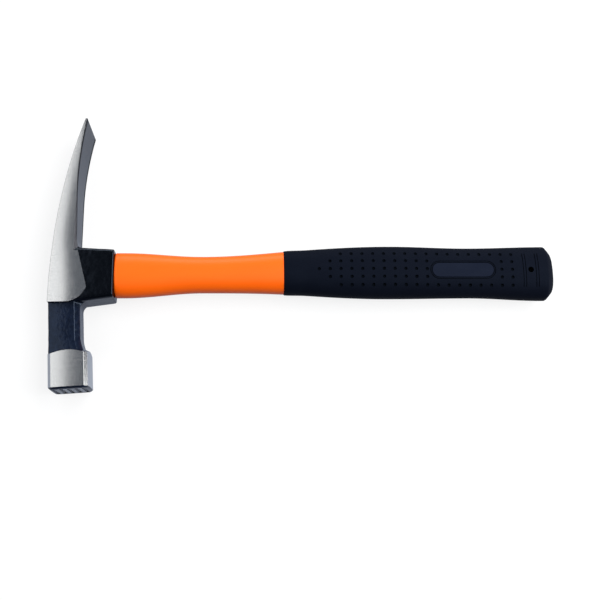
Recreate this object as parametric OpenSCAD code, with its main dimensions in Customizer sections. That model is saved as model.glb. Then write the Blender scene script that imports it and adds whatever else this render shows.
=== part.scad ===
// Bricklayer's hammer: a forged steel head with a square waffle-milled striking face and a
// flared chisel blade, on a fibreglass core with a moulded jacket and a soft rubber grip.
// It is drawn lying on its cheek. While it is drawn, X runs from the crown of the head
// along the handle, Y runs along the head towards the cutting edge, and Z = 0 is the middle
// plane. in_row_frame() then moves the origin to the bottom centre of the whole hammer.

/* [Striking block] */
// Distance from the eye axis to the middle of the striking face
poll_reach = 75.6; // [70:0.5:90]
// Distance from the crown to the middle of the striking face
face_x = 15.4; // [14:0.2:17]
// Side of the square striking face
face_w = 25; // [23:0.5:28]
// Thickness of the block from cheek to cheek
face_t = 24.6; // [23:0.2:28]
// Chamfer along the four long edges of the block
face_chamfer = 2.3; // [1:0.1:3]
// Length of the block, from the face to the turned shoulder on a flat
block_l = 24.3; // [20:0.5:26]
// Fall of the turned shoulder for each millimetre of radius
shoulder_fall = 0.52; // [0.3:0.02:0.8]
// Angle that the striking face leans towards the hand
rake = 3.3; // [0:0.1:5]
// Distance between the teeth of the milled face
tooth_pitch = 4.6; // [3:0.1:6]
// Depth of the grooves between the teeth
tooth_depth = 1.1; // [0.6:0.1:1.4]
// Bevel round the striking face, where the grooves run out
face_bevel = 1.2; // [0.8:0.1:2]

/* [Neck] */
// Width of the neck, from the crown side to the hand side
neck_w = 19.6; // [17:0.1:21]
// Thickness of the neck from cheek to cheek
neck_t = 20; // [18:0.2:22]
// Chamfer of the neck's edges on the hand side
neck_chamfer = 4; // [2:0.2:5.5]
// Chamfer of the neck's edges on the crown side
neck_edge = 0.8; // [0.4:0.1:2]
// Offset of the neck from the block's axis, towards the crown
neck_offset = 2.15; // [0:0.05:2.15]
// Length over which the neck flares into the block
neck_flare = 8; // [3:0.5:9]

/* [Blade] */
// Distance from the eye axis to the cutting edge
blade_reach = 103.9; // [85:0.5:130]
// Length of the cutting edge
edge_w = 34.4; // [26:0.2:44]
// Thickness of the steel at the cutting edge
edge_t = 1.2; // [0.6:0.1:2.5]
// Radius of the long curve from the crown to the edge
crown_r = 365; // [300:1:420]
// Distance of the top of that curve below the eye axis
crown_drop = 16.5; // [8:0.1:18]
// Thickness of the head from the crown to the blade's underside
blade_root_h = 16.6; // [14:0.2:18]
// Distance from the eye axis to where the underside bends to the edge
blade_bend = 66; // [40:1:70]
// Distance from the eye axis to where the blade starts to widen
flare_start = 16; // [10:0.5:30]
// Thickness of the head across the ground cheeks at the eye
cheek_t = 22.4; // [21:0.2:26]
// Bevel of the underside's edges at the root, which runs out where the blade bends
root_bevel = 1.4; // [1:0.1:4]

/* [Eye and collar] */
// Distance from the crown to the end of the collar
collar_l = 41; // [36:0.5:48]
// Height of the collar's end along the head
collar_h = 32; // [30:0.2:36]
// Thickness of the collar from cheek to cheek
collar_t = 21.6; // [20:0.2:22]
// Distance of the collar's middle below the eye axis
collar_sink = 0.6; // [0:0.1:1]
// Extra depth of the collar on the neck side, at the crown
collar_drop = 5.6; // [3:0.2:7]
// Extra height of the collar on the blade side, at the crown
collar_rise = 2.3; // [0:0.1:3]
// Rounding of the collar's long edges
collar_round = 2.6; // [1:0.1:4]
// Chamfer round the collar's end face
collar_chamfer = 0.7; // [0.2:0.1:1.5]
// Height of the eye along the head
eye_h = 23; // [21:0.2:24]
// Thickness of the eye
eye_t = 14.6; // [13.4:0.2:16]
// Countersink of the eye at the crown
eye_flare = 1.2; // [0.4:0.1:1.8]
// Fillet between the collar and the blade
blade_fillet = 5; // [2:0.5:8]
// Fillet between the collar and the neck
neck_fillet = 5; // [1:0.5:5]
// Reach of the ground cheek from the crown towards the hand
cheek_reach = 24.6; // [20:0.2:30]
// Distance of the ground cheek's lower end below the eye axis
cheek_end = 20.1; // [18.5:0.1:20.5]
// Height of the ground cheek's corner over the collar's low side
cheek_toe = 1.5; // [0:0.1:3]
// Radius of the ground cheek's corner
cheek_corner = 4.5; // [2:0.5:6]

/* [Fibreglass core and resin] */
// Height of the core along the head
core_h = 19; // [17:0.2:20]
// Thickness of the core
core_t = 12; // [10:0.2:12.6]
// Depth of the core's end below the crown
core_recess = 2.5; // [1.5:0.5:6]
// Depth of the resin's face below the crown
resin_recess = 1; // [0.6:0.1:1.2]
// Distance of the core's other end from the butt
core_back = 26; // [24:0.5:40]

/* [Handle outside] */
// Length of jacket that shows between the collar and the grip
jacket_l = 110; // [95:1:130]
// Length of the rubber grip
grip_l = 181; // [165:1:200]
// Half height of the jacket at its shoulder
shoulder_a = 14.9; // [14:0.1:15.6]
// Half thickness of the jacket at its shoulder
shoulder_b = 10; // [9:0.1:10.6]
// Length of the jacket's full shoulder
shoulder_l = 6; // [4:0.5:12]
// Rounding of the jacket where it meets the collar
shoulder_round = 1.2; // [0.4:0.1:1.6]
// Half height of the waist
waist_a = 12; // [11.4:0.1:13]
// Half thickness of the waist
waist_b = 9.3; // [8.6:0.1:10]
// Distance of the waist from the collar
waist_l = 57; // [45:1:70]
// Half height of the palm swell
palm_a = 17.7; // [15:0.1:20]
// Half thickness of the palm swell
palm_b = 11.6; // [10.8:0.1:14]
// Distance of the palm swell from the front of the grip
palm_l = 71; // [50:1:85]
// Half height of the finger hollow
hollow_a = 16.9; // [14:0.1:19]
// Half thickness of the finger hollow
hollow_b = 11.1; // [10.5:0.1:14]
// Distance of the finger hollow from the front of the grip
hollow_l = 123; // [100:1:135]
// Half height of the butt
butt_a = 18.4; // [15:0.1:21]
// Half thickness of the butt
butt_b = 11.6; // [10.5:0.1:14]
// Length of the butt's bevelled end
butt_bevel = 5.4; // [4:0.2:7.4]
// Half height of the flat on the butt's end
butt_flat_a = 9.8; // [6:0.1:12]
// Half thickness of the flat on the butt's end
butt_flat_b = 4.5; // [4:0.1:8]
// Bow of the handle towards the blade under the forefinger
bow = 1.6; // [0:0.1:3]
// Squareness of the handle's oval section, where 2 is an ellipse
squareness = 2.4; // [2:0.1:3]

/* [Jacket and grip walls] */
// Wall of the jacket round the core, under the grip
jacket_wall = 2; // [1:0.1:2.2]
// Height that the grip's front rim stands above the jacket
rim_proud = 0.5; // [0.2:0.1:1.5]
// Length over which that rim runs out
rim_run = 15; // [8:1:30]
// Rubber between the jacket's end and the butt
butt_wall = 8; // [7.5:0.5:11]
// Radius of the hanging hole
hang_r = 1.9; // [1.5:0.1:3]
// Distance of the hanging hole from the butt
hang_back = 17; // [16:0.5:20]

/* [Grip pattern] */
// Radius of a dimple
dimple_r = 1.1; // [0.8:0.1:1.6]
// Depth of a dimple
dimple_depth = 0.8; // [0.4:0.1:1]
// Distance between the dimples along the grip
dimple_pitch = 7.13; // [6:0.01:9]
// Distance between the rows of dimples
dimple_row = 5.3; // [4.5:0.1:6]
// Drop of the middle row of dimples below the handle's middle line
dimple_drop = 0.1; // [0:0.1:1]
// Distance of the first dimple from the front of the grip
dimple_start = 23.1; // [20:0.1:30]
// Length of the oval pad, with its groove
pad_l = 44; // [30:0.5:50]
// Height of the oval pad, with its groove
pad_h = 12.4; // [9:0.2:13]
// Width of the groove round the pad
pad_groove = 1.5; // [0.8:0.1:2]
// Depth of that groove at the pad's ends
pad_depth = 0.9; // [0.4:0.1:1]
// Distance of the pad's middle from the butt
pad_back = 62.5; // [60:0.5:75]
// Width of the fine grooves each side of the hanging hole
line_w = 0.5; // [0.3:0.1:0.8]
// Depth of the fine grooves
line_depth = 0.4; // [0.2:0.1:0.8]
// Distance of the nearer fine groove from the hole's axis
line_near = 3.4; // [3.2:0.1:4]
// Distance between the two fine grooves
line_gap = 1.7; // [1.2:0.1:2.5]
// Half length of the fine grooves
line_reach = 11.5; // [8:0.5:14]

/* [Fit] */
// Clearance between moulded or bonded pieces
bond_gap = 0.06; // [0.02:0.01:0.15]

/* [Hidden] */
$fn = 96;

ring_points = 40;
ring_step = 6;
cut = 1;
collar_top = collar_h / 2 - collar_sink;
collar_low = -collar_h / 2 - collar_sink;
grip_x = collar_l + jacket_l;
butt_x = grip_x + grip_l;
core_end = butt_x - core_back;
jacket_end = butt_x - butt_wall;
bevel_x = butt_x - butt_bevel;
hang_x = butt_x - hang_back;
pad_x = butt_x - pad_back;
dimple_x = grip_x + dimple_start;
dimple_columns = floor((hang_x - line_near - 2 * line_gap - dimple_x) / dimple_pitch);
sleeve_h = core_h + 2 * (bond_gap + jacket_wall);
sleeve_t = core_t + 2 * (bond_gap + jacket_wall);
edge_x = crown_r - sqrt(pow(crown_r, 2) - pow(blade_reach + crown_drop, 2));
face_low = -poll_reach - (face_w / 2 - face_bevel) * sin(rake);

// Turning points of the handle: place, half height, half thickness
waist_x = collar_l + waist_l;
girth = [
    [collar_l + shoulder_l, shoulder_a, shoulder_b],
    [waist_x, waist_a, waist_b],
    [grip_x + palm_l, palm_a, palm_b],
    [grip_x + hollow_l, hollow_a, hollow_b],
    [bevel_x, butt_a, butt_b]
];

// Turning points of the handle's middle line: place, height over the eye axis
shoulder_y = 0;
waist_y = 0.2 * bow;
hollow_y = 0.72 * bow;
butt_y = 0.42 * bow;
middle = [
    [collar_l + shoulder_l, shoulder_y],
    [waist_x, waist_y],
    [grip_x + rim_run, bow],
    [grip_x + palm_l, bow],
    [grip_x + hollow_l, hollow_y],
    [bevel_x, butt_y]
];

// ---- helpers ----

// Half a cosine wave from a to b as t goes from 0 to 1
function ease(a, b, t) = a + (b - a) * (1 - cos(180 * min(1, max(0, t)))) / 2;

// Value at x of column c of a table of turning points
function along(table, c, x, i = 0) =
    i >= len(table) - 2 || x < table[i + 1][0]
    ? ease(table[i][c], table[i + 1][c], (x - table[i][0]) / (table[i + 1][0] - table[i][0]))
    : along(table, c, x, i + 1);

function signed_pow(v, e) = sign(v) * pow(abs(v), e);

// Height of the handle's skin over the middle plane
function skin_z(x, y) =
    let (across = abs(y - along(middle, 1, x)) / along(girth, 1, x))
    along(girth, 2, x) * pow(1 - pow(across, squareness), 1 / squareness);

// One oval ring of the handle, with its sections grown by d
function handle_ring(x, d = 0) =
    oval_ring(x, along(girth, 1, x) + d, along(girth, 2, x) + d, along(middle, 1, x));

function oval_ring(x, a, b, y) = [
    for (i = [0 : ring_points - 1])
        let (t = 360 * i / ring_points)
        [x, y + a * signed_pow(cos(t), 2 / squareness), b * signed_pow(sin(t), 2 / squareness)]
];

// Closed skin through a list of rings
module loft(rings) {
    n = len(rings[0]);
    last = len(rings) - 1;
    sides = [
        for (r = [0 : last - 1], i = [0 : n - 1])
            let (j = (i + 1) % n)
            each [[r * n + i, (r + 1) * n + i, r * n + j],
                  [r * n + j, (r + 1) * n + i, (r + 1) * n + j]]
    ];
    front = [for (i = [0 : n - 1]) i];
    back = [for (i = [n - 1 : -1 : 0]) last * n + i];
    polyhedron([for (r = rings) each r], concat([front], sides, [back]));
}

// Extrusion along X of a shape drawn with Y across and Z up
module along_x(x0, x1) {
    translate([x0, 0, 0]) rotate([90, 0, 90]) linear_extrude(x1 - x0) children();
}

// Bar with round long edges, h high and t thick
module round_bar(x0, x1, h, t) {
    along_x(x0, x1) {
        square([h - t, t], center = true);
        for (s = [-1, 1]) translate([s * (h - t) / 2, 0]) circle(d = t);
    }
}

// Rectangle with its corners cut off at 45 degrees
module chamfered_rect(w, t, c) {
    a = w / 2;
    b = t / 2;
    polygon([[a - c, -b], [a, c - b], [a, b - c], [a - c, b],
             [c - a, b], [-a, b - c], [-a, c - b], [c - a, -b]]);
}

// Quarter fillet in the corner at the origin, of radius r and width w along Z
module fillet(r, w) {
    linear_extrude(w, center = true) difference() {
        translate([-cut, -cut]) square(r + cut);
        translate([r, r]) circle(r = r);
    }
}

module in_row_frame() {
    translate([-butt_x / 2, -(blade_reach + face_low) / 2, edge_w / 2]) children();
}

// ---- head ----

// The solid between the crown and the underside, seen from the cheek
module blade_side() {
    intersection() {
        translate([crown_r, -crown_drop]) circle(r = crown_r, $fn = 480);
        polygon([
            [-cut, -cheek_end], [blade_root_h, -cheek_end], [blade_root_h, blade_bend],
            [edge_x + edge_t, blade_reach], [-cut, blade_reach]
        ]);
    }
}

// The ground cheek, which runs on below the blade as a tongue with a round corner
module cheek_side() {
    toe = collar_low + cheek_toe + cheek_corner;
    intersection() {
        translate([crown_r, -crown_drop]) circle(r = crown_r, $fn = 480);
        hull() {
            translate([-cut, -cheek_end]) square([blade_root_h * 2 / 3 + cut, cheek_end]);
            translate([-cut, 0]) square([blade_root_h + cut, flare_start]);
            translate([cheek_reach - cheek_corner, toe]) circle(r = cheek_corner, $fn = 48);
        }
    }
}

// Thickness of the head seen from the crown: even at the eye, wider to the edge
module cheek_taper() {
    c = cheek_t / 2;
    e = edge_w / 2;
    polygon([[-cheek_end - cut, -c], [flare_start, -c], [blade_reach, -e],
             [blade_reach + cut, -e], [blade_reach + cut, e], [blade_reach, e],
             [flare_start, c], [-cheek_end - cut, c]]);
}

// Cut that bevels one edge of the underside, deepest at the root
module root_bevel_cut() {
    y0 = collar_top - cut;
    x = blade_root_h;
    z = cheek_t / 2;
    c = root_bevel;
    flare = (edge_w - cheek_t) / 2 / (blade_reach - flare_start);
    tip = [x, blade_bend, z + flare * (blade_bend - flare_start)];
    polyhedron(
        [[x - 2 * c, y0, z + c], [x + c, y0, z - 2 * c], [x + c, y0, z + c], tip],
        [[0, 2, 1], [0, 1, 3], [1, 2, 3], [2, 0, 3]]
    );
}

module blade() {
    difference() {
        intersection() {
            linear_extrude(2 * edge_w, center = true) {
                blade_side();
                cheek_side();
            }
            along_x(-cut, collar_l) cheek_taper();
        }
        root_bevel_cut();
        mirror([0, 0, 1]) root_bevel_cut();
    }
}

// Corner rods that span one section of the collar
module collar_section(x, inset = 0) {
    r = collar_round - inset;
    y0 = collar_low - collar_drop * (1 - x / collar_l) + collar_round;
    y1 = collar_top + collar_rise * (1 - x / collar_l) - collar_round;
    z = collar_t / 2 - collar_round;
    for (y = [y0, y1], s = [-1, 1]) translate([x, y, s * z]) rotate([0, 90, 0])
        cylinder(r = r, h = 0.01, $fn = 32);
}

module collar() {
    start = 3;
    fillet_end = blade_root_h + blade_fillet;
    hull() {
        collar_section(start);
        collar_section(collar_l - collar_chamfer);
        collar_section(collar_l - 0.01, collar_chamfer);
    }
    translate([blade_root_h, collar_top + collar_rise * (1 - fillet_end / collar_l), 0])
        fillet(blade_fillet, collar_t - 2 * collar_round);
}

// Cone that turns the shoulder of the striking block
module shoulder_turning() {
    rise = 3;
    r = face_t / 2;
    reach = block_l + rise;
    r_top = r - rise / shoulder_fall;
    r_low = r + block_l / shoulder_fall;
    rotate([-90, 0, 0]) cylinder(h = reach, r1 = r_low, r2 = r_top);
}

// V-grooves across the striking face in both directions, the second a little shallower
module milling() {
    second_pass = 0.95;
    s = tooth_depth * sqrt(2);
    s2 = second_pass * s;
    n = floor(face_w / 2 / tooth_pitch);
    for (i = [-n : n]) {
        translate([i * tooth_pitch, 0, 0]) rotate([0, 0, 45])
            cube([s, s, 2 * face_t], center = true);
        translate([0, 0, i * tooth_pitch]) rotate([45, 0, 0])
            cube([2 * face_w, s2, s2], center = true);
    }
}

// Bars that bevel the eight sides of the striking face
module face_bevelling() {
    corner = (face_w + face_t - 2 * face_chamfer) / 2 / sqrt(2);
    s = face_bevel * sqrt(2);
    for (i = [0 : 7]) {
        reach = i % 2 == 1 ? corner : (i % 4 == 0 ? face_w : face_t) / 2;
        rotate([0, 45 * i, 0]) translate([reach, 0, 0]) rotate([0, 0, 45])
            cube([s, s, 2 * face_w], center = true);
    }
}

// Section of the neck: small chamfers at the crown, large ones towards the hand
module neck_section(grow = 0) {
    a = (neck_w + grow) / 2;
    b = (neck_t + grow) / 2;
    c = neck_chamfer;
    e = neck_edge;
    polygon([[a - c, -b], [a, c - b], [a, b - c], [a - c, b],
             [e - a, b], [-a, b - e], [-a, e - b], [e - a, -b]]);
}

// Neck and striking block, with the face at Y = 0 and the eye towards +Y
module poll() {
    difference() {
        intersection() {
            rotate([-90, 0, 0]) linear_extrude(block_l + cut)
                chamfered_rect(face_w, face_t, face_chamfer);
            shoulder_turning();
        }
        face_bevelling();
        milling();
    }
    neck_root = poll_reach + collar_low;
    translate([-neck_offset, block_l / 2, 0]) rotate([-90, 0, 0])
        linear_extrude(neck_root - block_l / 2) neck_section();
    grow = (face_t - neck_t) / 2;
    hull() {
        translate([-neck_offset, block_l + neck_flare, 0]) rotate([-90, 0, 0])
            linear_extrude(0.01) neck_section();
        translate([grow / 2 - neck_offset, block_l - 1, 0]) rotate([-90, 0, 0])
            linear_extrude(0.01) neck_section(grow);
    }
    translate([neck_w / 2 - neck_offset, neck_root - collar_drop / 2, 0]) mirror([0, 1, 0])
        fillet(neck_fillet, neck_t - 2 * neck_chamfer);
}

// Space of the eye, made smaller all round by gap
module eye_space(gap = 0) {
    h = eye_h - 2 * gap;
    t = eye_t - 2 * gap;
    depth = 2 * eye_flare;
    mouth = t / 2 + eye_flare + cut / 2;
    round_bar(-cut, collar_l + cut, h, t);
    for (s = [-1, 1]) translate([-cut, s * (h - t) / 2, 0]) rotate([0, 90, 0])
        cylinder(h = depth + cut, r1 = mouth, r2 = t / 2);
    rotate([90, 0, 0]) linear_extrude(h - t, center = true)
        polygon([[-cut, -mouth], [depth, -t / 2], [depth, t / 2], [-cut, mouth]]);
}

module hammer_head() {
    color("#4a4d55") difference() {
        union() {
            blade();
            collar();
            translate([face_x, -poll_reach, 0]) rotate([0, 0, rake]) poll();
        }
        eye_space();
    }
}

// ---- handle ----

module core_bar(gap = 0) {
    round_bar(core_recess - gap, core_end + gap, core_h + 2 * gap, core_t + 2 * gap);
}

module handle_core() {
    color("#d8cf9a") core_bar();
}

// Resin that fills the eye round the core and covers the core's end
module epoxy_bond() {
    color("#3b3a36") difference() {
        intersection() {
            eye_space(bond_gap);
            translate([resin_recess, -eye_h, -eye_t])
                cube([collar_l - bond_gap - resin_recess, 2 * eye_h, 2 * eye_t]);
        }
        core_bar(bond_gap);
    }
}

module hang_hole() {
    translate([hang_x, butt_y, 0]) cylinder(r = hang_r, h = 4 * butt_b, center = true);
}

module handle_jacket() {
    shoulder = [
        for (t = [0 : 30 : 90])
            oval_ring(collar_l + shoulder_round * (1 - cos(t)),
                      shoulder_a - shoulder_round * (1 - sin(t)),
                      shoulder_b - shoulder_round * (1 - sin(t)), shoulder_y)
    ];
    shaft = [
        for (i = [0 : ceil((jacket_l - shoulder_l) / ring_step)])
            handle_ring(min(grip_x, collar_l + shoulder_l + i * ring_step))
    ];
    color("#ff5a00") difference() {
        union() {
            loft(concat(shoulder, shaft));
            round_bar(grip_x - cut, jacket_end, sleeve_h, sleeve_t);
        }
        core_bar(bond_gap);
        hang_hole();
    }
}

// Dimples on one side of the grip, in five rows that leave room for the pad
module dimples() {
    for (row = [-2 : 2], i = [abs(row) : dimple_columns]) {
        x = dimple_x + i * dimple_pitch;
        y = along(middle, 1, x) - dimple_drop + row * dimple_row;
        clear = abs(x - pad_x) > pad_l / 2 + 2 * dimple_r || abs(row) == 2;
        if (clear) translate([x, y, skin_z(x, y) - dimple_depth])
            cylinder(r = dimple_r, h = dimple_depth + cut, $fn = 24);
    }
}

module stadium(l, h) {
    square([l - h, h], center = true);
    for (s = [-1, 1]) translate([s * (l - h) / 2, 0]) circle(d = h);
}

// Groove round the oval pad on one side of the grip
module pad_ring() {
    floor_z = skin_z(pad_x + pad_l / 2, butt_y) - pad_depth;
    translate([pad_x, butt_y, floor_z]) linear_extrude(butt_b) difference() {
        stadium(pad_l, pad_h);
        stadium(pad_l - 2 * pad_groove, pad_h - 2 * pad_groove);
    }
}

// Fine grooves across both sides of the grip, in a pair each side of the hanging hole
module fine_grooves() {
    for (s = [-1, 1], i = [0, 1]) {
        x = hang_x + s * (line_near + i * line_gap);
        along_x(x - line_w / 2, x + line_w / 2) difference() {
            translate([butt_y, 0]) square([2 * line_reach, 4 * butt_b], center = true);
            polygon([for (p = handle_ring(x, -line_depth)) [p[1], p[2]]]);
        }
    }
}

module grip() {
    rim = 0.8;
    front = [
        for (t = [0 : 30 : 90])
            handle_ring(grip_x + rim * (1 - cos(t)), rim_proud - rim * (1 - sin(t)))
    ];
    rim_end = [
        for (i = [1 : 4])
            handle_ring(grip_x + rim + i * rim_run / 4, ease(rim_proud, 0, i / 4))
    ];
    body_x = grip_x + rim + rim_run;
    body = [
        for (i = [1 : floor((bevel_x - body_x) / ring_step)])
            handle_ring(body_x + i * ring_step)
    ];
    end = [
        for (p = [[0, 0], [0.75, 0.5], [0.95, 0.8], [1, 1]])
            oval_ring(bevel_x + butt_bevel * p[0], butt_a + (butt_flat_a - butt_a) * p[1],
                      butt_b + (butt_flat_b - butt_b) * p[1], butt_y)
    ];
    color("#15181f") difference() {
        loft(concat(front, rim_end, body, end));
        round_bar(grip_x - cut, jacket_end + bond_gap, sleeve_h + 2 * bond_gap,
                  sleeve_t + 2 * bond_gap);
        hang_hole();
        for (side = [0, 1]) mirror([0, 0, side]) {
            dimples();
            pad_ring();
        }
        fine_grooves();
    }
}

in_row_frame() hammer_head();
in_row_frame() handle_core();
in_row_frame() handle_jacket();
in_row_frame() grip();
in_row_frame() epoxy_bond();
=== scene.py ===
from math import asin, cos, pi, radians, sin, sqrt

import bpy
from mathutils import Matrix, Vector


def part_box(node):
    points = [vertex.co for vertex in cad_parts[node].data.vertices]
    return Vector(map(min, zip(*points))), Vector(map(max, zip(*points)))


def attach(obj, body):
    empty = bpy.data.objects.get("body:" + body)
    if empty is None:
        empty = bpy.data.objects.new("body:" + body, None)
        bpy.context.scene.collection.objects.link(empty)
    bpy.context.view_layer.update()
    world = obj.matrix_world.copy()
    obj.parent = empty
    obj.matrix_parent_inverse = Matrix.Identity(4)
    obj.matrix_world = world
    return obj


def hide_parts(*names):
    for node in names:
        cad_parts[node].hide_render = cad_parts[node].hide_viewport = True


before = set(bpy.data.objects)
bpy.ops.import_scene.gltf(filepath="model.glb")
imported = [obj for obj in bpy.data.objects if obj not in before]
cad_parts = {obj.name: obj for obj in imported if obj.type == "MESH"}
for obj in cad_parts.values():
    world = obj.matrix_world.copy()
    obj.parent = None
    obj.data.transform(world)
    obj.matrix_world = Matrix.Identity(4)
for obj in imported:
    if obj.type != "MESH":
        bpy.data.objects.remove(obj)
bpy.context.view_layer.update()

# ---------------------------------------------------------------------------
# Blade and cheeks: the ground upper part of the head. It is drop forged in
# one piece with the collar, the neck and the striking block, and its cheeks
# are then ground bright on a belt, down past the eye as a round tongue.
# ---------------------------------------------------------------------------
head_low, head_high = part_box("hammer_head")
blade_reach = 103.9
eye_place = Vector((head_low.x, head_high.y - blade_reach / 1000, (head_low.z + head_high.z) / 2))

crown_radius, crown_drop = 365, 16.5
cheek_half, cheek_end, cheek_crown = 11.2, 20.1, 120
twist, twist_start, twist_run, twist_end = 0.023, 30, 50, 9
flare_start, edge_half, edge_thickness = 16, 17.2, 1.2
bend_x, bend_y, bend_curve = 16.2, 52, 0.00202
toe_radius, toe_x, toe_y, toe_turn = 14, 10.8, -6.1, 45
corner_radius, corner_x, corner_y, corner_turn = 3.5, 20.5, -10, 58.9
root_bevel, bevel_low, bevel_seen, bevel_end = 1.4, 14.4, 42, 60
forged_edge, tongue_end, tongue_share = 0.9, 14, 0.4
edge_share, edge_run = 0.55, 25
dark_line_margin = 3.2
cheek_level = 0.985


def only(piece):
    """Selects one piece and nothing else."""
    if bpy.context.object and bpy.context.object.mode != "OBJECT":
        bpy.ops.object.mode_set(mode="OBJECT")
    bpy.ops.object.select_all(action="DESELECT")
    piece.select_set(True)
    bpy.context.view_layer.objects.active = piece


def begin(name, add, **how):
    """Adds a primitive, in millimetres from the crown, the eye's axis and the middle plane."""
    bpy.ops.object.select_all(action="DESELECT")
    add(**how)
    piece = bpy.context.object
    piece.name = piece.data.name = name
    bpy.ops.object.transform_apply(location=True, rotation=True, scale=True)
    return piece


def edit(piece, test=None, kind="polygons"):
    """Opens a piece for editing, with the faces, edges or vertices selected that pass the test."""
    only(piece)
    mesh = piece.data
    modes = {"polygons": "FACE", "edges": "EDGE", "vertices": "VERT"}
    bpy.ops.object.mode_set(mode="EDIT")
    bpy.ops.mesh.select_mode(type=modes[kind])
    bpy.ops.mesh.select_all(action="DESELECT" if test else "SELECT")
    if not test:
        return
    bpy.ops.object.mode_set(mode="OBJECT")
    for part in getattr(mesh, kind):
        if kind == "polygons":
            middle = part.center
        elif kind == "edges":
            middle = (mesh.vertices[part.vertices[0]].co + mesh.vertices[part.vertices[1]].co) / 2
        else:
            middle = part.co
        part.select = bool(test(middle, part))
    bpy.ops.object.mode_set(mode="EDIT")


def done():
    bpy.ops.object.mode_set(mode="OBJECT")


def draw(name, start, strokes):
    """A closed flat outline, drawn with straight strokes (x, y) and arcs (centre, angle, steps)."""
    piece = begin(name, bpy.ops.mesh.primitive_plane_add, size=1, location=(*start, 0))
    edit(piece, kind="vertices")
    bpy.ops.mesh.merge(type="CENTER")
    pen = Vector((*start, 0))
    for stroke in strokes:
        if len(stroke) == 2:
            goal = Vector((*stroke, 0))
            bpy.ops.mesh.extrude_vertices_move(TRANSFORM_OT_translate={"value": goal - pen})
            pen = goal
        else:
            centre, angle, steps = stroke
            centre = Vector((*centre, 0))
            bpy.ops.mesh.spin(steps=steps, angle=-radians(angle), center=centre, axis=(0, 0, 1))
            pen = centre + Matrix.Rotation(radians(angle), 3, "Z") @ (pen - centre)
    bpy.ops.mesh.select_all(action="SELECT")
    bpy.ops.mesh.remove_doubles(threshold=0.01)
    bpy.ops.mesh.edge_face_add()
    done()
    return piece


def thicken(piece, low, high):
    """Gives a flat outline a thickness, from low to high over the middle plane."""
    edit(piece)
    bpy.ops.transform.translate(value=(0, 0, low))
    bpy.ops.mesh.extrude_region_move(TRANSFORM_OT_translate={"value": (0, 0, high - low)})
    bpy.ops.mesh.select_all(action="SELECT")
    bpy.ops.mesh.normals_make_consistent(inside=False)
    done()


def modify(piece, kind, **settings):
    """Adds a modifier and applies it."""
    only(piece)
    modifier = piece.modifiers.new(kind.title(), kind)
    for setting, value in settings.items():
        setattr(modifier, setting, value)
    bpy.ops.object.modifier_apply(modifier=modifier.name)


def combine(piece, operation, other):
    """Adds, cuts or keeps what is common with another solid, which is then used up."""
    modify(piece, "BOOLEAN", operation=operation, object=other, solver="EXACT",
           material_mode="TRANSFER")
    bpy.data.objects.remove(other)


def crown_at(y):
    """Place of the crown, which is one long arc from the tongue's toe to the edge."""
    return crown_radius - sqrt(crown_radius ** 2 - (y + crown_drop) ** 2)


edge_x = crown_at(blade_reach)
crown_turn = asin((blade_reach + crown_drop) / crown_radius)
crown_turn += asin((cheek_end - crown_drop) / crown_radius)
diagonal = sqrt(0.5)

# The underside, as rows of (y, x): straight to the bend, then curved up to the edge
underside = [(15, 17.8), (22, 16.6), (37, 16.4), (bend_y, bend_x)]
for y in range(56, 101, 4):
    underside.append((y, bend_x + bend_curve * (y - bend_y) ** 2))
underside.append((blade_reach, edge_x + edge_thickness))

blade = draw("blade", (edge_x, blade_reach), [
    ((crown_radius, -crown_drop), crown_turn * 180 / pi, 60),
    (toe_x, toe_y - toe_radius),
    ((toe_x, toe_y), toe_turn, 8),
    (corner_x + corner_radius * diagonal, corner_y - corner_radius * diagonal),
    ((corner_x, corner_y), corner_turn, 10),
    *[(x, y) for y, x in underside],
    (edge_x, blade_reach),
])
thicken(blade, -cheek_half, cheek_half)

# The outline's edges are rounded, less along the tongue and towards the cutting edge
rounding = blade.data.attributes.new("bevel_weight_edge", "FLOAT", "EDGE")
for edge in blade.data.edges:
    first, last = (blade.data.vertices[v].co for v in edge.vertices)
    x, y, _ = (first + last) / 2
    if abs(first.z - last.z) < 0.1 and y < blade_reach - 0.1:
        share = min(1, edge_share + (blade_reach - y) / edge_run)
        if y < tongue_end and x > crown_at(y) + 1:
            share = tongue_share
        rounding.data[edge.index].value = share
modify(blade, "BEVEL", width=forged_edge, segments=3, limit_method="WEIGHT")

# Scored into a grid, so that the cheeks can flare to the edge and be ground a little round
edit(blade)
cuts = [((x, 0, 0), (1, 0, 0)) for x in range(2, 24, 2)]
cuts += [((0, y, 0), (0, 1, 0)) for y in range(-16, 104, 4)]
cuts += [((0, 0, side * (cheek_half - dark_line_margin)), (0, 0, side)) for side in (-1, 1)]
for place, normal in cuts:
    bpy.ops.mesh.select_all(action="SELECT")
    bpy.ops.mesh.bisect(plane_co=place, plane_no=normal, threshold=0.05)
done()


def underside_at(y):
    """Place of the underside, and of the tongue's edge below it."""
    rows = [(corner_y, corner_x + corner_radius), *underside]
    for (y0, x0), (y1, x1) in zip(rows, rows[1:]):
        if y <= y1:
            return x0 + (x1 - x0) * (max(y, y0) - y0) / (y1 - y0)
    return rows[-1][1]


flare = (edge_half - cheek_half) / (blade_reach - flare_start)
for vertex in blade.data.vertices:
    x, y, z = vertex.co
    crown_x = crown_at(y)
    under_x = underside_at(y)
    half_height = (under_x - crown_x) / 2
    off_middle = x - (under_x + crown_x) / 2
    round_off = (half_height ** 2 - off_middle ** 2) / (2 * cheek_crown)
    width = cheek_half + max(0, y - flare_start) * flare
    twisted = min(1, max(0, (y - twist_start) / twist_run), (blade_reach - y) / twist_end)
    width += twist * twisted * off_middle
    if abs(z) > cheek_half - dark_line_margin - 0.1:
        vertex.co.z += (width + max(-1, round_off) - cheek_half) * (1 if z > 0 else -1)

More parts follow.
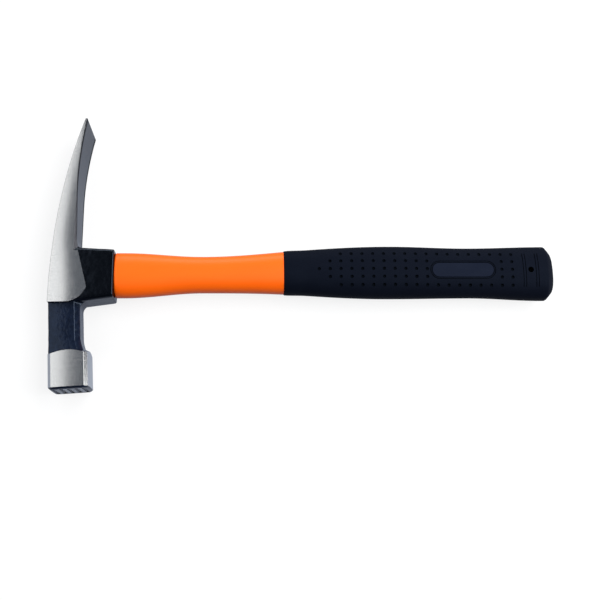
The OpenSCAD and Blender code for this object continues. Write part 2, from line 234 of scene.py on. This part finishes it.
# The underside's edges are bevelled at the root, and the bevel runs out up the blade
underside_x = underside_at(22)
wedge_width, wedge_depth = 20, 10
for side in (-1, 1):
    wedge = begin("wedge", bpy.ops.mesh.primitive_cube_add, size=1)
    foot = Vector((underside_x - root_bevel / 2, bevel_low, side * (cheek_half - root_bevel / 2)))
    tip = Vector((underside_at(bevel_end), bevel_end,
                  side * (cheek_half + (bevel_end - flare_start) * flare)))
    along = (tip - foot).normalized()
    outward = Vector((1, 0, -side)).cross(along).normalized() * side
    across = along.cross(outward)
    wedge.matrix_world = Matrix((across, along, outward)).transposed().to_4x4()
    wedge.location = (foot + tip) / 2 + outward * wedge_depth / 2
    wedge.scale = (wedge_width, (tip - foot).length, wedge_depth)
    only(wedge)
    bpy.ops.object.transform_apply(location=True, rotation=True, scale=True)
    combine(blade, "DIFFERENCE", wedge)


def add_nodes(material):
    """Empties a material's tree and returns a function that adds nodes to it."""
    material.use_nodes = True
    tree = material.node_tree
    tree.nodes.clear()

    def add(kind, links=(), **settings):
        node = tree.nodes.new("ShaderNode" + kind)
        for name, value in settings.items():
            if name[0].isupper():
                node.inputs[name.replace("_", " ")].default_value = value
            else:
                setattr(node, name, value)
        for name, source in dict(links).items():
            tree.links.new(source, node.inputs[name])
        return node
    return add


def in_millimetres(add, stretch=(1, 1, 1)):
    """The piece's own coordinates, scaled from metres to millimetres and stretched."""
    place = add("TexCoord").outputs["Object"]
    return add("Mapping", {"Vector": place}, Scale=[1000 / s for s in stretch]).outputs["Vector"]


def spread(add, value, low, high, start=0.3, end=0.7):
    """Maps a noise value to a range."""
    return add("MapRange", {"Value": value}, From_Min=start, From_Max=end,
               To_Min=low, To_Max=high).outputs["Result"]


def two_tone(add, value, first, second):
    """Mixes two colours by a value."""
    mix = add("Mix", {"Factor": value}, data_type="RGBA")
    mix.inputs["A"].default_value = (*first, 1)
    mix.inputs["B"].default_value = (*second, 1)
    return mix.outputs["Result"]


def finish_shader(add, colour, rough, bump, **settings):
    """Joins a colour, a roughness and a bump to the material's surface."""
    links = {"Base Color": colour, "Roughness": rough, "Normal": bump.outputs["Normal"]}
    shader = add("BsdfPrincipled", links, **settings)
    add("OutputMaterial", {"Surface": shader.outputs["BSDF"]})


def grain_of(add, stretch, detail):
    """Value of a noise whose grains have this size in millimetres."""
    noise = add("TexNoise", {"Vector": in_millimetres(add, stretch)}, Scale=1, Detail=detail)
    return noise.outputs["Fac"]


def make_ground_steel():
    """Bright carbon steel with fine belt marks across the head."""
    material = bpy.data.materials.new("ground_steel")
    add = add_nodes(material)
    marks = grain_of(add, (14, 0.35, 0.35), 4)
    speck = grain_of(add, (0.9, 0.4, 0.6), 5)
    specked = spread(add, speck, 0, 1)
    colour = two_tone(add, specked, (0.52, 0.525, 0.52), (0.67, 0.67, 0.66))
    rough = spread(add, marks, 0.16, 0.23)
    bump = add("Bump", {"Height": marks}, Strength=0.25, Distance=0.00003)
    finish_shader(add, colour, rough, bump, Metallic=1)
    return material


def make_forge_scale(name, shade, **settings):
    """Dark scale that the belt didn't reach, on the bevels; at a shade near nought and with almost
    no reflection it is a painted line of shade along the underside's edges.
    """
    material = bpy.data.materials.new(name)
    add = add_nodes(material)
    grain = grain_of(add, (0.6, 1.5, 0.6), 3)
    colour = two_tone(add, grain, [shade * c for c in (0.05, 0.05, 0.055)],
                      [shade * c for c in (0.11, 0.11, 0.12)])
    rough = spread(add, grain, 0.3, 0.45)
    bump = add("Bump", {"Height": grain}, Strength=0.4, Distance=0.00005)
    finish_shader(add, colour, rough, bump, **settings)
    return material


def make_black_lacquer():
    """Black stoving lacquer, smooth on the collar and rougher over the forged skin of the neck,
    with a painted mottled navy reflection on the neck.
    """
    material = bpy.data.materials.new("black_lacquer")
    add = add_nodes(material)
    skin = grain_of(add, (2.2, 3, 2.2), 3)
    fine = grain_of(add, (0.5, 0.5, 0.5), 2)
    place = add("SeparateXYZ", {"Vector": in_millimetres(add)})
    on_neck = spread(add, place.outputs["Y"], 0, 1, -31, -38)
    roughened = spread(add, on_neck, 0.12, 0.85, 0, 1)
    black = two_tone(add, skin, (0.0004, 0.0005, 0.0008), (0.0009, 0.0012, 0.002))
    # On the neck the black gives way to a mottled navy base colour: a painted bluish reflection.
    painted_navy_reflection = two_tone(add, skin, (0.0008, 0.0015, 0.004), (0.009, 0.015, 0.034))
    mix = add("Mix", {"Factor": on_neck, "A": black, "B": painted_navy_reflection}, data_type="RGBA")
    rough = spread(add, fine, 0.12, 0.24)
    bump = add("Bump", {"Height": skin, "Strength": roughened}, Distance=0.0002)
    finish_shader(add, mix.outputs["Result"], rough, bump,
                  Specular_IOR_Level=0.28, Specular_Tint=(0.6, 0.75, 1, 1))
    return material


def paint(piece, *materials):
    """Gives a piece these materials in place of any that it has."""
    piece.data.materials.clear()
    for material in materials:
        piece.data.materials.append(material)


steel = make_ground_steel()
lacquer = make_black_lacquer()
paint(blade, steel, lacquer, make_forge_scale("bevel_scale", 1, Metallic=1),
      make_forge_scale("dark_edge_shade", 0.04, Specular_IOR_Level=0.04))
for face in blade.data.polygons:
    _, y, z = face.center
    is_cheek = abs(face.normal.z) > cheek_level
    is_edge = face.normal.y > 0.9 and y > blade_reach - 1
    half_width = cheek_half + max(0, y - flare_start) * flare
    near_side = abs(z) > half_width - dark_line_margin + 0.3
    if is_cheek or is_edge:
        face.material_index = 0
    # The strips along the underside's near edges and their rounding get a near-black material with
    # almost no reflection: a painted dark line of shade.
    elif y > bevel_low and face.normal.x > 0.1 and near_side:
        face.material_index = 2 if y < bevel_seen and abs(face.normal.z) > 0.5 else 3
    else:
        face.material_index = 1

# ---------------------------------------------------------------------------
# Collar and neck: the black part of the forging. The collar is the long
# socket round the eye, which takes the handle, and the eight-sided neck
# carries the striking block. Both keep their forged skin under the lacquer.
# ---------------------------------------------------------------------------
collar_start, collar_end = 3, 41
collar_top, collar_low, collar_half = 15.4, -16.6, 10.8
collar_drop, collar_rise = 5.19, 2.13
collar_round, collar_chamfer = 2.6, 0.7
rake, face_x, poll_reach = 3.3, 15.4, 75.6
neck_width, neck_depth, neck_chamfer, crown_chamfer = 19.6, 20, 3.1, 0.8
neck_start, neck_end, neck_offset, neck_crown = 32.3, 59, -2.15, 90
neck_growth, growth_step = (0.25, 0.65, 1.15, 1.7, 2.3, 2.3), 1.8
blade_fillet, root_lift, root_inset = 3.5, 1.1, 1.5
neck_fillet, neck_sunk = 5, 2.8
skin_grain = 0.42


def lean(piece):
    """Moves a piece drawn about the middle of the striking face to its place on the head."""
    only(piece)
    piece.rotation_euler = (0, 0, radians(rake))
    piece.location = (face_x, -poll_reach, 0)
    bpy.ops.object.transform_apply(location=True, rotation=True, scale=True)


def join(pieces):
    """Makes one piece of several."""
    only(pieces[0])
    for piece in pieces[1:]:
        piece.select_set(True)
    bpy.ops.object.join()
    return pieces[0]


def runs(piece, axis, least):
    """A test for edges longer than least along one axis."""
    def test(middle, edge):
        ends = [piece.data.vertices[v].co for v in edge.vertices]
        return abs(ends[0][axis] - ends[1][axis]) > least
    return test


collar = begin("collar", bpy.ops.mesh.primitive_cube_add, size=1,
               location=((collar_start + collar_end) / 2, (collar_top + collar_low) / 2, 0),
               scale=(collar_end - collar_start, collar_top - collar_low, 2 * collar_half))
edit(collar, lambda v, _: v.x < collar_start + 1 and v.y < 0, "vertices")
bpy.ops.transform.translate(value=(0, -collar_drop, 0))
edit(collar, lambda v, _: v.x < collar_start + 1 and v.y > 0, "vertices")
bpy.ops.transform.translate(value=(0, collar_rise, 0))
edit(collar, runs(collar, 0, 30), "edges")
bpy.ops.mesh.bevel(offset=collar_round, segments=6)
edit(collar, lambda f, _: f.x > collar_end - 0.1)
bpy.ops.mesh.bevel(offset=collar_chamfer, segments=2)
done()

neck = begin("neck", bpy.ops.mesh.primitive_cube_add, size=1,
             location=(neck_offset, (neck_start + neck_end) / 2, 0),
             scale=(neck_width, neck_end - neck_start, neck_depth))
for side, cut in ((1, neck_chamfer), (-1, crown_chamfer)):
    edit(neck, lambda e, edge: runs(neck, 1, 20)(e, edge) and e.x * side > 5, "edges")
    bpy.ops.mesh.bevel(offset=cut, segments=1)
edit(neck)
for x in range(-10, 8, 2):
    bpy.ops.mesh.select_all(action="SELECT")
    bpy.ops.mesh.bisect(plane_co=(x, 0, 0), plane_no=(1, 0, 0))
done()
for vertex in neck.data.vertices:
    if abs(vertex.co.z) > neck_depth / 2 - 0.1:
        vertex.co.z *= 1 - (vertex.co.x - neck_offset) ** 2 / neck_crown / neck_depth

# It flares into the striking block, but not on the side of the crown
crown_side = neck_offset - neck_width / 2
size = 0
for grow in neck_growth:
    edit(neck, lambda f, face: face.normal.y < -0.9)
    bpy.ops.mesh.extrude_region_move(TRANSFORM_OT_translate={"value": (0, -growth_step, 0)})
    bpy.ops.transform.resize(value=((neck_width + grow) / (neck_width + size), 1,
                                    (neck_depth + grow) / (neck_depth + size)),
                             center_override=(crown_side, 0, 0))
    size = grow
lean(neck)

# Fillets in the two corners between the collar and what it carries
root_y = collar_top + root_lift
blade_root = draw("blade root", (underside_x - 1, root_y - 1), [
    (underside_x + blade_fillet, root_y - 1),
    (underside_x + blade_fillet, root_y),
    ((underside_x + blade_fillet, root_y + blade_fillet), -90, 8),
    (underside_x - 1, root_y + blade_fillet),
    (underside_x - 1, root_y - 1),
])
thicken(blade_root, root_inset - collar_half, collar_half - root_inset)

neck_side = neck_width / 2 + neck_offset
neck_top = neck_end - neck_sunk
neck_root = draw("neck root", (neck_side - 1, neck_top + 1), [
    (neck_side - 1, neck_top - neck_fillet),
    (neck_side, neck_top - neck_fillet),
    ((neck_side + neck_fillet, neck_top - neck_fillet), -90, 8),
    (neck_side + neck_fillet, neck_top + 1),
    (neck_side - 1, neck_top + 1),
])
thicken(neck_root, neck_chamfer - neck_depth / 2, neck_depth / 2 - neck_chamfer)
lean(neck_root)

# One skin over all four, softened and a little uneven as forgings are
forging = join([collar, neck, blade_root, neck_root])
modify(forging, "REMESH", mode="VOXEL", voxel_size=skin_grain)
modify(forging, "SMOOTH", factor=0.5, iterations=6)
hammer_marks = bpy.data.textures.new("hammer_marks", "CLOUDS")
hammer_marks.noise_scale = 5
modify(forging, "DISPLACE", texture=hammer_marks, strength=0.14, mid_level=0.5)
paint(forging, lacquer)

# ---------------------------------------------------------------------------
# Striking block: the square head of the poll, ground on its flats and
# chamfers. Its shoulder is turned, and its face is milled both ways with
# V-grooves, which leave square teeth that don't skid off a nail.
# ---------------------------------------------------------------------------
block_width, block_depth, block_length = 25, 24.6, 24.3
block_chamfer, ground_round, corner_round = 2.3, 220, 0.08
shoulder_fall, shoulder_rise = 0.52, 3
tooth_pitch, tooth_depth, second_pass = 4.6, 1.1, 0.95
face_bevel, tooth_rim = 1.2, 0.8

# The section is drawn with its flats ground a little round, then stands up along the poll
flat_x, flat_z = block_width / 2 - block_chamfer, block_depth / 2 - block_chamfer
centre_x, centre_z = ground_round - block_width / 2, ground_round - block_depth / 2
near_z = sqrt(ground_round ** 2 - flat_x ** 2) - centre_z
near_x = sqrt(ground_round ** 2 - flat_z ** 2) - centre_x
sweep_x = 2 * asin(flat_x / ground_round) * 180 / pi
sweep_z = 2 * asin(flat_z / ground_round) * 180 / pi
block = draw("block", (flat_x, near_z), [
    ((0, -centre_z), sweep_x, 12), (-near_x, flat_z),
    ((centre_x, 0), sweep_z, 12), (-flat_x, -near_z),
    ((0, centre_z), sweep_x, 12), (near_x, -flat_z),
    ((-centre_x, 0), sweep_z, 12), (flat_x, near_z),
])
thicken(block, -block_length - shoulder_rise - 1, 0)
only(block)
block.rotation_euler = (pi / 2, 0, 0)
bpy.ops.object.transform_apply(location=True, rotation=True, scale=True)
edit(block, lambda f, face: face.normal.y < -0.9)
bpy.ops.mesh.bevel(offset=face_bevel, segments=1)
edit(block, lambda e, edge: False, "edges")
bpy.ops.mesh.edges_select_sharp(sharpness=radians(30))
bpy.ops.mesh.bevel(offset=corner_round, segments=2)
done()
turning = begin("turning", bpy.ops.mesh.primitive_cone_add, vertices=96,
                radius1=block_depth / 2 + (block_length + 1) / shoulder_fall,
                radius2=block_depth / 2 - shoulder_rise / shoulder_fall,
                depth=block_length + shoulder_rise + 1,
                location=(0, (block_length + shoulder_rise - 1) / 2, 0),
                rotation=(-pi / 2, pi / 96, 0))
combine(block, "INTERSECT", turning)

# Five grooves each way, then the worn tops of the teeth shine and the grooves stay black
for axis, depth in ((0, tooth_depth), (2, tooth_depth * second_pass)):
    grooves = []
    for i in range(-2, 3):
        place = [0, 0, 0]
        size = [depth * sqrt(2)] * 3
        turn = [0, 0, 0]
        place[axis] = i * tooth_pitch
        size[2 - axis] = block_width - 2 * (face_bevel + tooth_rim)
        turn[2 - axis] = pi / 4
        grooves.append(begin("groove", bpy.ops.mesh.primitive_cube_add, size=1,
                             location=place, rotation=turn, scale=size))
    combine(block, "DIFFERENCE", join(grooves))
    edit(block)
    bpy.ops.mesh.remove_doubles(threshold=0.02)
    done()
paint(block, steel, lacquer)
for face in block.data.polygons:
    from_middle = max(abs(face.center.x), abs(face.center.z))
    worn_top = face.center.y < 0.01 and from_middle < 2 * tooth_pitch
    face.material_index = 1 if abs(face.normal.y) > 0.4 and not worn_top else 0
lean(block)

# ---------------------------------------------------------------------------
# The head as one piece: the three parts of the forging are one steel body,
# with the eye bored through the collar and countersunk at the crown.
# ---------------------------------------------------------------------------
eye_height, eye_width, eye_flare = 23, 14.6, 1.2
eye = begin("eye", bpy.ops.mesh.primitive_cylinder_add, vertices=64, radius=eye_width / 2,
            depth=collar_end + 4, location=(collar_end / 2, 0, 0),
            rotation=(pi / 64, pi / 2, 0))
for side in (-1, 1):
    edit(eye, lambda v, _: v.y * side > 0, "vertices")
    bpy.ops.transform.translate(value=(0, side * (eye_height - eye_width) / 2, 0))
edit(eye)
bpy.ops.mesh.bisect(plane_co=(2 * eye_flare, 0, 0), plane_no=(1, 0, 0))
edit(eye, lambda v, _: v.x < 0, "vertices")
flared = [1 + 2.2 * eye_flare / (size / 2) for size in (eye_height, eye_width)]
bpy.ops.transform.resize(value=(1, *flared))
done()
paint(eye, lacquer)

head = forging
head.name = head.data.name = "steel_head"
combine(head, "UNION", blade)
combine(head, "UNION", block)
combine(head, "DIFFERENCE", eye)


def set_down(piece, angle=30):
    """Puts a finished piece in the frame, in metres, and shades it smooth up to an angle."""
    only(piece)
    piece.scale = (0.001, 0.001, 0.001)
    piece.location = eye_place
    bpy.ops.object.transform_apply(location=True, rotation=True, scale=True)
    bpy.ops.object.shade_smooth_by_angle(angle=radians(angle))
    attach(piece, "root")


set_down(head)
modify(head, "WEIGHTED_NORMAL", keep_sharp=True, weight=60)
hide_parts("hammer_head")

# ---------------------------------------------------------------------------
# Handle jacket: the orange plastic moulded round the fibreglass core. It
# shows between the collar and the grip, with a waist; only that part is
# built here, though it runs on inside the grip as a plain sleeve.
# ---------------------------------------------------------------------------
grip_low, grip_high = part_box("grip")
grip_x = (grip_low.x - eye_place.x) * 1000
butt_x = (grip_high.x - eye_place.x) * 1000
butt_bevel, butt_y, rim_run = 5.4, 0.672, 15
shoulder_x, shoulder_a, shoulder_b, shoulder_round = 47, 14.9, 10, 1.2
waist_x, palm_x, hollow_x, bevel_x = 98, 222, 274, butt_x - butt_bevel
girth = [(shoulder_x, shoulder_a, shoulder_b), (waist_x, 12, 9.3), (palm_x, 17.7, 11.6),
         (hollow_x, 16.9, 11.1), (bevel_x, 18.4, 11.6)]
bow = [(shoulder_x, 0), (waist_x, 0.32), (grip_x + rim_run, 1.6), (palm_x, 1.6),
       (hollow_x, 1.152), (bevel_x, butt_y)]
squareness, oval_points = 2.4, 80


def follow(table, column, x):
    """Value at x on the smooth curve through a table of turning points."""
    x = min(max(x, table[0][0]), table[-1][0])
    for here, after in zip(table, table[1:]):
        if x <= after[0]:
            t = (1 - cos(pi * (x - here[0]) / (after[0] - here[0]))) / 2
            return here[column] + (after[column] - here[column]) * t


def oval(x, grow=0):
    """Half height, half width and middle of the handle at x."""
    return follow(girth, 1, x) + grow, follow(girth, 2, x) + grow, follow(bow, 1, x)


def sweep(name, stations):
    """A closed skin through ovals (x, half height, half width, middle)."""
    piece = begin(name, bpy.ops.mesh.primitive_circle_add, vertices=oval_points, radius=1,
                  fill_type="NGON", rotation=(0, -pi / 2, 0))
    x, a, b, y = stations[0]
    for vertex in piece.data.vertices:
        high, wide = vertex.co.y, vertex.co.z
        power = 2 / squareness
        vertex.co = (x, y + a * abs(high) ** power * (1 if high > 0 else -1),
                     b * abs(wide) ** power * (1 if wide > 0 else -1))
    edit(piece)
    for x2, a2, b2, y2 in stations[1:]:
        bpy.ops.mesh.extrude_region_move(TRANSFORM_OT_translate={"value": (x2 - x, y2 - y, 0)})
        bpy.ops.transform.resize(value=(1, a2 / a, b2 / b), center_override=(x2, y2, 0))
        x, a, b, y = x2, a2, b2, y2
    bpy.ops.mesh.select_all(action="SELECT")
    bpy.ops.mesh.normals_make_consistent(inside=False)
    done()
    return piece


def steps(start, end, pitch):
    """Places from start to end, about a pitch apart, without the start itself."""
    count = max(1, round((end - start) / pitch))
    return [start + (end - start) * i / count for i in range(1, count + 1)]


def make_orange_plastic():
    """Glossy orange polypropylene with a faint moulded grain."""
    material = bpy.data.materials.new("orange_moulding")
    add = add_nodes(material)
    flow = grain_of(add, (40, 8, 8), 2)
    grain = grain_of(add, (0.4, 0.4, 0.4), 2)
    colour = two_tone(add, flow, (1.0, 0.122, 0.0), (1.0, 0.142, 0.001))
    rough = spread(add, grain, 0.34, 0.46)
    bump = add("Bump", {"Height": grain}, Strength=0.12, Distance=0.00005)
    finish_shader(add, colour, rough, bump, Specular_IOR_Level=0.25)
    return material


shoulder = []
for t in range(0, 91, 15):
    run, fall = (shoulder_round * (1 - f(radians(t))) for f in (cos, sin))
    shoulder.append((collar_end + 0.03 + run, shoulder_a - fall, shoulder_b - fall, 0))
shaft = [(x, *oval(x)) for x in steps(shoulder_x - 2, grip_x, 2.5)]
jacket = sweep("orange_jacket", shoulder + shaft)
paint(jacket, make_orange_plastic())
set_down(jacket)
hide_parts("handle_jacket")

# ---------------------------------------------------------------------------
# Grip: soft black rubber moulded over the jacket, from a rim that stands a
# little proud to the rounded butt. It has rows of dimples, an oval pad with
# a groove round it, fine grooves across, and a hole to hang the hammer by.
# ---------------------------------------------------------------------------
rim, rim_proud = 0.8, 0.5
butt_flat_a, butt_flat_b = 9.8, 4.5
dimple_radius, dimple_depth, dimple_columns = 1.1, 0.9, 19
dimple_pitch, dimple_row, dimple_drop = 7.13, 5.3, 0.1
first_dimple = grip_x + 23.1
pad_x, pad_length, pad_height = butt_x - 62.5, 44, 12.4
pad_groove, pad_line, pad_depth = 1.5, 0.45, 0.9
hole_x, hole_radius = butt_x - 17, 1.9
line_places, line_width, line_depth, line_reach = (-5.1, -3.4, 3.4, 5.1), 0.5, 0.4, 11.5


def skin(x, y):
    """Half thickness of the handle at a place seen from the cheek side."""
    a, b, middle = oval(x)
    return b * (1 - (abs(y - middle) / a) ** squareness) ** (1 / squareness)


def make_grip_rubber(name, shade):
    """Matt black rubber with a fine spark-eroded grain."""
    material = bpy.data.materials.new(name)
    add = add_nodes(material)
    tone = grain_of(add, (12, 6, 6), 3)
    grain = grain_of(add, (0.35, 0.35, 0.35), 3)
    colour = two_tone(add, tone, [shade * c for c in (0.003, 0.004, 0.0085)],
                      [shade * c for c in (0.0048, 0.0063, 0.012)])
    rough = spread(add, grain, 0.5, 0.65)
    bump = add("Bump", {"Height": grain}, Strength=0.3, Distance=0.0001)
    finish_shader(add, colour, rough, bump,
                  Specular_IOR_Level=0.035, Specular_Tint=(0.5, 0.7, 1, 1))
    return material


front = []
for t in range(0, 91, 18):
    run, fall = (rim * (1 - f(radians(t))) for f in (cos, sin))
    front.append((grip_x + run, *oval(grip_x, rim_proud - fall)))
run_out = [(x, *oval(x, rim_proud * (1 + cos(pi * (x - grip_x - rim) / rim_run)) / 2))
           for x in steps(grip_x + rim, grip_x + rim + rim_run, 1.5)]
body = [(x, *oval(x)) for x in steps(grip_x + rim + rim_run, bevel_x - 0.6, 2.5)]
end_a, end_b, _ = oval(bevel_x)
butt = [(bevel_x + butt_bevel * run, end_a + (butt_flat_a - end_a) * fall,
         end_b + (butt_flat_b - end_b) * fall, butt_y)
        for run, fall in ((0, 0.01), (0.1, 0.05), (0.42, 0.27), (0.75, 0.52), (0.86, 0.66),
                          (0.95, 0.83), (0.985, 0.93), (1, 1))]
grip = sweep("rubber_grip", front + run_out + body + butt)
paint(grip, make_grip_rubber("soft_rubber", 0.85))
# A much darker copy of the rubber, carried onto the walls of the dimples, the pad's grooves, the
# fine lines and the hole: painted shade in the recesses.
hollow_shade_rubber = make_grip_rubber("hollow_shade_rubber", 0.2)

studs = []
for row in range(-2, 3):
    for i in range(abs(row), dimple_columns):
        x = first_dimple + i * dimple_pitch
        y = follow(bow, 1, x) - dimple_drop + row * dimple_row
        if abs(x - pad_x) < pad_length / 2 + 1.5 * dimple_radius and abs(row) < 2:
            continue
        for side in (-1, 1):
            place = (x, y, side * (skin(x, y) - dimple_depth + 1.5))
            studs.append(begin("stud", bpy.ops.mesh.primitive_cylinder_add, vertices=16,
                               radius=dimple_radius, depth=3, location=place))
studs = join(studs)
paint(studs, hollow_shade_rubber)
combine(grip, "DIFFERENCE", studs)


def stadium(name, length, height, low, high):
    """A flat bar with round ends about the pad's middle."""
    straight = (length - height) / 2
    piece = draw(name, (pad_x - straight, butt_y - height / 2), [
        (pad_x + straight, butt_y - height / 2),
        ((pad_x + straight, butt_y), 180, 12),
        (pad_x - straight, butt_y + height / 2),
        ((pad_x - straight, butt_y), 180, 12),
    ])
    thicken(piece, low, high)
    return piece


groove_floor = skin(pad_x + pad_length / 2, butt_y) - pad_depth
for side in (-1, 1):
    low, high = sorted((side * groove_floor, side * 16))
    for inset in (0, pad_groove - pad_line):
        ring = stadium("ring", pad_length - 2 * inset, pad_height - 2 * inset, low, high)
        inset += pad_line
        combine(ring, "DIFFERENCE", stadium("pad", pad_length - 2 * inset,
                                            pad_height - 2 * inset, low - 1, high + 1))
        paint(ring, hollow_shade_rubber)
        combine(grip, "DIFFERENCE", ring)

for offset in line_places:
    x = hole_x + offset
    line = begin("line", bpy.ops.mesh.primitive_cube_add, size=1, location=(x, butt_y, 0),
                 scale=(line_width, 2 * line_reach, 40))
    kept = sweep("kept", [(x - 1, *oval(x, -line_depth)), (x + 1, *oval(x, -line_depth))])
    combine(line, "DIFFERENCE", kept)
    paint(line, hollow_shade_rubber)
    combine(grip, "DIFFERENCE", line)

hole = begin("hole", bpy.ops.mesh.primitive_cylinder_add, vertices=32, radius=hole_radius,
             depth=40, location=(hole_x, butt_y, 0))
paint(hole, hollow_shade_rubber)
combine(grip, "DIFFERENCE", hole)

# A lighter copy of the rubber on the pad inside its groove: a painted sheen.
grip.data.materials.append(make_grip_rubber("pad_sheen_rubber", 1.8))
for face in grip.data.polygons:
    past_straight = max(0, abs(face.center.x - pad_x) - (pad_length - pad_height) / 2)
    from_axis = sqrt(past_straight ** 2 + (face.center.y - butt_y) ** 2)
    if from_axis < pad_height / 2 - pad_groove and abs(face.center.z) > groove_floor + 0.1:
        face.material_index = len(grip.data.materials) - 1
set_down(grip)
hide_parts("grip")

# ---------------------------------------------------------------------------
# Fibreglass core: a pultruded rod of glass fibres in resin, inside the jacket.
# It keeps the shape that it has in the frame.
# ---------------------------------------------------------------------------
def make_fibreglass():
    """Straw-coloured pultruded glass and resin, with its fibres along the rod."""
    material = bpy.data.materials.new("glass_rod")
    add = add_nodes(material)
    fibres = grain_of(add, (60, 0.3, 0.3), 3)
    colour = two_tone(add, fibres, (0.42, 0.34, 0.16), (0.62, 0.55, 0.32))
    rough = spread(add, fibres, 0.3, 0.5)
    bump = add("Bump", {"Height": fibres}, Strength=0.3, Distance=0.00005)
    finish_shader(add, colour, rough, bump)
    return material


paint(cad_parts["handle_core"], make_fibreglass())

# ---------------------------------------------------------------------------
# Resin bond: cast epoxy that fills the eye round the core and holds the head.
# It shows as the dark fill at the crown.
# ---------------------------------------------------------------------------
def make_resin():
    """Dark cast epoxy, slightly uneven where it was poured."""
    material = bpy.data.materials.new("cast_resin")
    add = add_nodes(material)
    pour = grain_of(add, (3, 3, 3), 3)
    colour = two_tone(add, pour, (0.012, 0.011, 0.010), (0.03, 0.028, 0.024))
    rough = spread(add, pour, 0.15, 0.35)
    bump = add("Bump", {"Height": pour}, Strength=0.3, Distance=0.0002)
    finish_shader(add, colour, rough, bump)
    return material


paint(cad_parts["epoxy_bond"], make_resin())

# ---------------------------------------------------------------------------
# Studio: a pale floor and a pale room, four soft lamps and the camera. The
# floor and the room look white, and shine less into what stands on the floor.
# ---------------------------------------------------------------------------
floor = begin("floor", bpy.ops.mesh.primitive_plane_add, size=60)
floor_paint = bpy.data.materials.new("pale_floor")
add = add_nodes(floor_paint)
ray = add("LightPath").outputs
mirrored = add("Math", {0: ray["Is Glossy Ray"], 1: ray["Is Transmission Ray"]},
               operation="MAXIMUM")
matt = add("BsdfDiffuse", Color=(0.2, 0.2, 0.2, 1))
seen = add("Emission", {"Strength": ray["Is Camera Ray"]}, Color=(0.8, 0.8, 0.8, 1))
shown = add("Emission", {"Strength": mirrored.outputs["Value"]}, Color=(0.27, 0.31, 0.4, 1))
glow = add("AddShader", {0: seen.outputs["Emission"], 1: shown.outputs["Emission"]})
both = add("AddShader", {0: matt.outputs["BSDF"], 1: glow.outputs["Shader"]})
add("OutputMaterial", {"Surface": both.outputs["Shader"]})
floor.data.materials.append(floor_paint)

world = bpy.data.worlds.new("studio")
bpy.context.scene.world = world
add = add_nodes(world)
seen = add("LightPath").outputs["Is Camera Ray"]
air = add("Background", Color=(0.7, 0.8, 1, 1), Strength=0.13)
paper = add("Background", Color=(1, 1, 1, 1), Strength=0.9)
sky = add("MixShader", {0: seen, 1: air.outputs["Background"], 2: paper.outputs["Background"]})
add("OutputWorld", {"Surface": sky.outputs["Shader"]})


def softbox(name, place, target, size, power):
    """A square lamp at a place, facing a target, that the camera doesn't see."""
    data = bpy.data.lights.new(name, "AREA")
    data.shape = "RECTANGLE"
    data.size, data.size_y = size
    data.energy = power
    lamp = bpy.data.objects.new(name, data)
    lamp.location = place
    lamp.rotation_euler = (Vector(target) - Vector(place)).to_track_quat("-Z", "Y").to_euler()
    lamp.visible_camera = False
    bpy.context.scene.collection.objects.link(lamp)


softbox("left box", (-0.965, 0.3, 0.9), (-0.965, 0.3, 0), (1.24, 1.6), 7.8)
softbox("top box", (0.44, 0.05, 0.9), (0.44, 0.05, 0), (0.6, 0.9), 10.5)
softbox("upper box", (0.1, 1.1, 0.5), (0, 0, 0), (1.5, 0.5), 11)
softbox("right box", (1.2, -0.1, 0.45), (0, 0, 0), (0.5, 0.9), 9)

camera_data = bpy.data.cameras.new("camera")
camera_data.lens = 52.62
camera_data.sensor_width = 36
camera = bpy.data.objects.new("camera", camera_data)
turn = (Matrix.Rotation(radians(-3.81), 3, "Y") @ Matrix.Rotation(radians(14.13), 3, "X")
        @ Matrix.Rotation(radians(-1.14), 3, "Z"))
camera.matrix_world = Matrix.Translation((-0.04149, -0.171885, 0.57702)) @ turn.to_4x4()
bpy.context.scene.collection.objects.link(camera)
bpy.context.scene.camera = camera
bpy.context.scene.view_settings.view_transform = "Standard"
